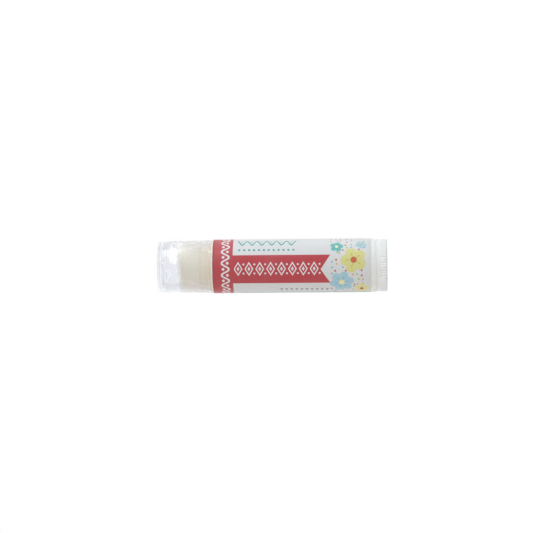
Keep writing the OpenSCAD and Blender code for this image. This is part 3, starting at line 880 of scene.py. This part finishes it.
def make_screw(material):
    """Spindle: a right-hand screw, with a knob at its tip.

    Its radius at height z and angle a falls from the crest's to the root's with the distance in height from
    the thread's middle line, which rises by PITCH a turn.
    """
    thread_z = LUG_Z - 2.5 * PITCH
    low = BOSS_TOP - 0.5
    knob = SPINDLE_TOP - KNOB_CONE
    thread = np.linspace(low, KNOB_LOW, SCREW_LEVELS)
    z = np.concatenate([[low], thread, [KNOB_LOW, knob, SPINDLE_TOP, SPINDLE_TOP]])
    a = 2 * np.pi * np.arange(SCREW_AROUND) / SCREW_AROUND
    phase = ((z[:, None] - thread_z) / PITCH - a / (2 * np.pi) + 0.5) % 1 - 0.5
    share = (ROOT_W / 2 - np.abs(phase) * PITCH) / ((ROOT_W - CREST_W) / 2)
    r = ROOT_R + (CREST_R - ROOT_R) * share.clip(0, 1)
    r[-4:-2] = KNOB_R
    r[-2] = KNOB_R - KNOB_CONE
    r[[0, -1]] = 0
    grid = np.stack([r * np.cos(a), r * np.sin(a), np.repeat(z[:, None], SCREW_AROUND, 1)], -1)
    piece("spindle_screw", [(grid, False)], "dial", material)


def make_cup(material):
    """Cup: a shallow cup with the nut standing in it, slots for the guide ribs, and two helical lugs.

    A lug is a four-sided section that is carried round the axis and rises by PITCH a turn.
    """
    profile = outline([
        (NUT_IN, CUP_Z, 0.1), (CUP_R, CUP_Z, 0.2), (CUP_R, CUP_TOP, 0.15), (CUP_IN, CUP_TOP, 0.15),
        (CUP_IN, CUP_FLOOR, 0.3), (NUT_R, CUP_FLOOR, 0.2), (NUT_R, NUT_TOP, 0.15), (NUT_IN, NUT_TOP, 0.1),
    ], closed=True, longest=1.0)

    def shape(r, z, a):
        """Brings the side in to SLOT_R within SLOT_HALF of the X axis."""
        slot = ((SLOT_HALF + 0.05 - np.abs(CUP_R * np.sin(a))) / 0.1).clip(0, 1)
        return np.where(r > SLOT_R, r - (r - SLOT_R) * slot, r), z

    patches = [(turned(profile, CUP_AROUND, shape), True)]
    section = np.array([(LUG_IN_R, -LUG_IN_HALF), (LUG_IN_R, LUG_IN_HALF),
                        (LUG_OUT_R, LUG_OUT_HALF), (LUG_OUT_R, -LUG_OUT_HALF)])
    for turn in (0, 180):
        a = np.radians(turn + np.linspace(-LUG_ARC / 2, LUG_ARC / 2, LUG_STEPS))[:, None]
        z = LUG_Z + section[:, 1] + PITCH * a / (2 * np.pi)
        grid = np.stack([section[:, 0] * np.cos(a), section[:, 0] * np.sin(a), z], -1)
        patches.append((ended(grid), False))
    piece("cup_and_nut", patches, "carrier", material, ["elevator_cup"])


def make_balm(material):
    """Balm: a column in the cup and the tube, hollow for the nut and the screw, with a poured top."""
    nut_r, nut_top = NUT_R + BALM_GAP, NUT_TOP + BALM_GAP
    profile = outline([
        (0, CORE_TOP), (CORE_R, CORE_TOP), (CORE_R, nut_top), (nut_r, nut_top), (nut_r, BALM_Z),
        (BALM_FOOT_R, BALM_Z), (BALM_FOOT_R, CUP_TOP), (BALM_R, CUP_TOP, 0.1),
        (BALM_R, BALM_LEVEL, BALM_ROUND), (0, BALM_LEVEL),
    ], longest=0.35)
    drip_a, drip_r, drip_w, drip_h = math.radians(-70), 5.3, 0.38, 0.6

    def shape(r, z, a):
        """Makes the top a tilted plane with a parabolic dip, low waves of sines and a bell-shaped drip.

        Brings the side in to SLOT_R at the guide ribs, as in the cup.
        """
        x, y = r * np.cos(a), r * np.sin(a)
        top = ((z - (BALM_LEVEL - 1.5)) / 1.5).clip(0, 1) * (r > 0.0)
        top = np.where(z > BALM_LEVEL - 0.001, 1.0, top * (r > BALM_R - 1))
        waves = 0.05 * np.sin(1.1 * x + 0.7 * y) + 0.035 * np.sin(0.8 * x - 1.9 * y + 1)
        dip = -0.28 * (1 - (r / BALM_R) ** 2)
        drip_x, drip_y = drip_r * math.cos(drip_a), drip_r * math.sin(drip_a)
        drip = drip_h * np.exp(-((x - drip_x) ** 2 + (y - drip_y) ** 2) / drip_w ** 2)
        slot = ((SLOT_HALF - np.abs(BALM_R * np.sin(a))) / 0.1 + 1).clip(0, 1)
        r = np.where(r > SLOT_R, r - (r - SLOT_R) * slot, r)
        return r, z + top * (math.tan(math.radians(BALM_TILT)) * x + waves + dip + drip)

    surface = turned(profile, BALM_AROUND, shape)
    piece("balm_stick", [(surface, False)], "carrier", material, ["balm"])


# Lamps stand round the middle of the stick, at this height in metres
MIDDLE_Z = 0.034

# Strips of light: degrees from the front towards +X, rise, and width. They share the distance, the height
# and the level for each metre of width
STRIPS = [(28, 0.2353, 0.16), (54, 0.2318, 0.16), (80, 0.2262, 0.16), (60, 0.2466, 0.08)]
STRIP_AWAY, STRIP_TALL, STRIP_LEVEL = 0.31, 0.0035, 0.21


def towards(degrees, rise):
    """A direction so many degrees from the front towards +X, which rises by rise over a length of 1."""
    turn = math.radians(degrees)
    return math.sin(turn), -math.cos(turn), rise


def lamp(name, direction, distance, size, level, colour="#ffffff", only_mirrored=False):
    """An area lamp in a direction from the stick's middle. Its power gives a facing surface that level.

    A lamp that is only mirrored shows in gloss and lights nothing. Any other shows in no gloss.
    """
    ray = Vector(direction).normalized()
    data = bpy.data.lights.new(name, "AREA")
    data.shape = "RECTANGLE"
    data.size, data.size_y = size
    data.energy = level * math.pi ** 2 * distance ** 2
    data.color = tint(colour)[:3]
    made = bpy.data.objects.new(name, data)
    bpy.context.scene.collection.objects.link(made)
    made.location = Vector((0, 0, MIDDLE_Z)) + ray * distance
    made.rotation_mode = "QUATERNION"
    made.rotation_quaternion = ray.to_track_quat("Z", "Y")
    made.visible_camera = made.visible_transmission = False
    made.visible_glossy, made.visible_diffuse = only_mirrored, not only_mirrored


def make_lights():
    """A broad soft lamp on the picture's upper side, a weak one below, a low panel and four thin strips.

    The panel and the strips are only mirrored. The panel is so low that the cap's leaning wall misses it.
    The strips follow an arc, at the heights that this wall mirrors to the camera near its closed end.
    """
    lamp("soft_key", towards(68, 0.25), 1.8, (1.2, 1.2), 0.39, "#e2effc")
    lamp("soft_fill", (-1.0, -0.35, 0.3), 1.75, (1.0, 1.0), 0.06, "#ffe2cc")
    lamp("low_panel", towards(86, 0.04), 1.5, (2.6, 0.15), 0.19, only_mirrored=True)
    for number, (degrees, rise, wide) in enumerate(STRIPS, 1):
        lamp(f"strip_{number}", towards(degrees, rise), STRIP_AWAY, (wide, STRIP_TALL), STRIP_LEVEL * wide,
             only_mirrored=True)


# Level of the world's plain light, half of the floor's width in metres, and the floor's own light when seen
SOFT_LEVEL, FLOOR_HALF, FLOOR_GLOW = 0.735, 2.0, 0.35


def make_world():
    """White to the camera, in gloss and through clear plastic, and a lower soft level on the object."""
    world = bpy.data.worlds.new("world")
    bpy.context.scene.world = world
    world.use_nodes = True
    tree = world.node_tree
    tree.nodes.clear()
    strength = seen_directly(tree).ramp(0, 1, SOFT_LEVEL, 1.0)
    shade = node(tree, "ShaderNodeBackground", {"Color": (1, 1, 1, 1), "Strength": strength})
    node(tree, "ShaderNodeOutputWorld", {"Surface": shade.outputs[0]})


def make_floor():
    """A plain pale square floor at the foot. Where it is seen, a little light of its own makes it white."""
    half = FLOOR_HALF
    corners = [(-half, -half, 0), (half, -half, 0), (half, half, 0), (-half, half, 0)]
    mesh = bpy.data.meshes.new("floor")
    mesh.from_pydata(corners, [], [(0, 1, 2, 3)])
    made, tree, shader, _ = new_material("floor")
    dress(shader, Base_Color="#f2f2f2", Roughness=0.9, Emission_Color="#ffffff",
          Emission_Strength=seen_directly(tree) * FLOOR_GLOW)
    mesh.materials.append(made)
    floor = bpy.data.objects.new("floor", mesh)
    bpy.context.scene.collection.objects.link(floor)


make_cap(cap_material())
make_tube(natural_material("natural_tube", "#f9faf4", 0.98, neck_solid=0.56))
make_label(label_material())
dial_plastic = natural_material("natural_dial", "#f9faf3", 0.98)
make_dial(dial_plastic)
make_screw(dial_plastic)
make_cup(cup_material())
make_balm(balm_material())
make_lights()
make_world()
make_floor()
bpy.context.scene.view_settings.view_transform = "Standard"
